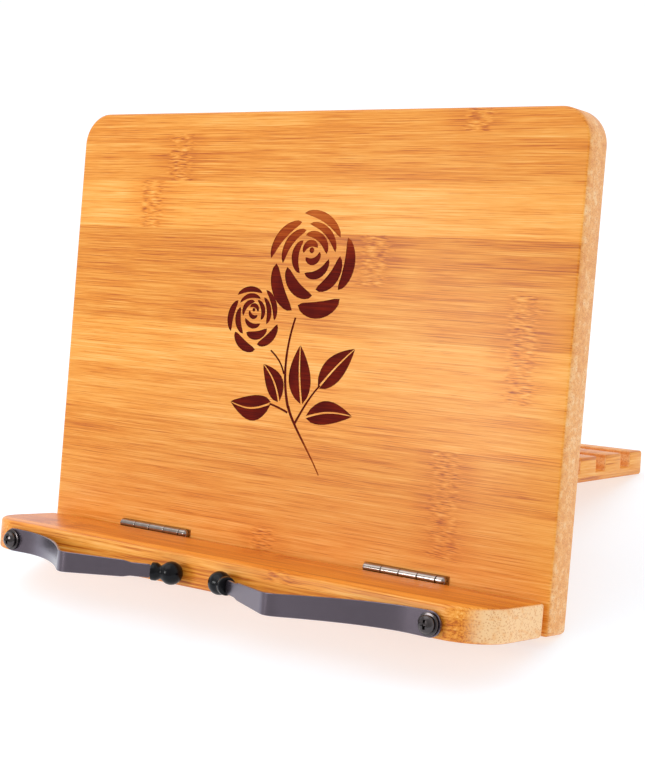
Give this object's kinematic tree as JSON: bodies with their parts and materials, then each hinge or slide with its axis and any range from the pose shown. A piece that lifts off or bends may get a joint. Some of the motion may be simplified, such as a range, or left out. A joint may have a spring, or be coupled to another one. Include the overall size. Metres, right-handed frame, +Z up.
{
  "type": "folding album stand",
  "caption": "Folding bamboo stand for an open album or book: leaning board, hinged ledge with two swivelling spring clips, and a grooved support plate with a prop behind.",
  "frame": {"origin": "centre of the bounding box footprint, on the table plane", "axes": "+X to the right along the board width, -Y towards the reader, +Z up; the board leans back by 22 degrees"},
  "size_m": [0.28, 0.2408, 0.1992],
  "materials": {
    "bamboo": "clear-coated caramelised bamboo",
    "bamboo_dark": "clear-coated caramelised bamboo, darker strips",
    "nickel": "bright nickel plate",
    "spring_steel": "satin dark grey coating",
    "black_steel": "black coating",
    "rubber": "smooth black"
  },
  "bodies": {
    "board_assembly": {"prop_bracket_left": "nickel", "bracket_screw_left_1": "nickel", "bracket_screw_left_2": "nickel", "prop_bracket_right": "nickel", "bracket_screw_right_1": "nickel", "bracket_screw_right_2": "nickel", "back_board": "bamboo", "front_hinge_left_board_leaf": "nickel", "front_hinge_left_pin": "nickel", "front_hinge_left_board_screw_1": "nickel", "front_hinge_left_board_screw_2": "nickel", "front_hinge_right_board_leaf": "nickel", "front_hinge_right_pin": "nickel", "front_hinge_right_board_screw_1": "nickel", "front_hinge_right_board_screw_2": "nickel", "rear_hinge_left_board_leaf": "nickel", "rear_hinge_left_pin": "nickel", "rear_hinge_left_board_screw_1": "nickel", "rear_hinge_left_board_screw_2": "nickel", "rear_hinge_right_board_leaf": "nickel", "rear_hinge_right_pin": "nickel", "rear_hinge_right_board_screw_1": "nickel", "rear_hinge_right_board_screw_2": "nickel"},
    "ledge_assembly": {"ledge": "bamboo_dark", "front_hinge_left_ledge_leaf": "nickel", "front_hinge_left_ledge_screw_1": "nickel", "front_hinge_left_ledge_screw_2": "nickel", "front_hinge_right_ledge_leaf": "nickel", "front_hinge_right_ledge_screw_1": "nickel", "front_hinge_right_ledge_screw_2": "nickel", "clip_left_spacer": "black_steel", "clip_left_screw": "black_steel", "clip_right_spacer": "black_steel", "clip_right_screw": "black_steel"},
    "clip_left": {"clip_left_arm": "spring_steel", "clip_left_tip": "rubber", "clip_left_washer": "black_steel"},
    "clip_right": {"clip_right_arm": "spring_steel", "clip_right_tip": "rubber", "clip_right_washer": "black_steel"},
    "plate_assembly": {"support_plate": "bamboo", "rear_hinge_left_plate_leaf": "nickel", "rear_hinge_left_plate_screw_1": "nickel", "rear_hinge_left_plate_screw_2": "nickel", "rear_hinge_right_plate_leaf": "nickel", "rear_hinge_right_plate_screw_1": "nickel", "rear_hinge_right_plate_screw_2": "nickel"},
    "prop_assembly": {"prop_arm_left": "bamboo", "prop_pivot_screw_left": "nickel", "prop_cap_left": "nickel", "prop_arm_right": "bamboo", "prop_pivot_screw_right": "nickel", "prop_cap_right": "nickel", "prop_rod": "nickel"}
  },
  "joints": [
    {"name": "ledge_fold", "type": "hinge", "parent": "board_assembly", "child": "ledge_assembly", "pos_m": [0, -0.04621, 0.01921], "axis": [1, 0, 0], "range_deg": [-90, 0]},
    {"name": "clip_left_swivel", "type": "hinge", "parent": "ledge_assembly", "child": "clip_left", "pos_m": [-0.116, -0.09237, 0.02782], "axis": [0, -0.928, 0.3725], "range_deg": [0, 180]},
    {"name": "clip_right_swivel", "type": "hinge", "parent": "ledge_assembly", "child": "clip_right", "pos_m": [0.116, -0.09237, 0.02782], "axis": [0, 0.928, -0.3725], "range_deg": [0, 180]},
    {"name": "support_plate_swing", "type": "hinge", "parent": "board_assembly", "child": "plate_assembly", "pos_m": [0, -0.01217, 0.0577], "axis": [1, 0, 0], "range_deg": [-35, 0]},
    {"name": "prop_swing", "type": "hinge", "parent": "board_assembly", "child": "prop_assembly", "pos_m": [0, 0.00425, 0.09055], "axis": [1, 0, 0], "range_deg": [0, 130]}
  ]
}
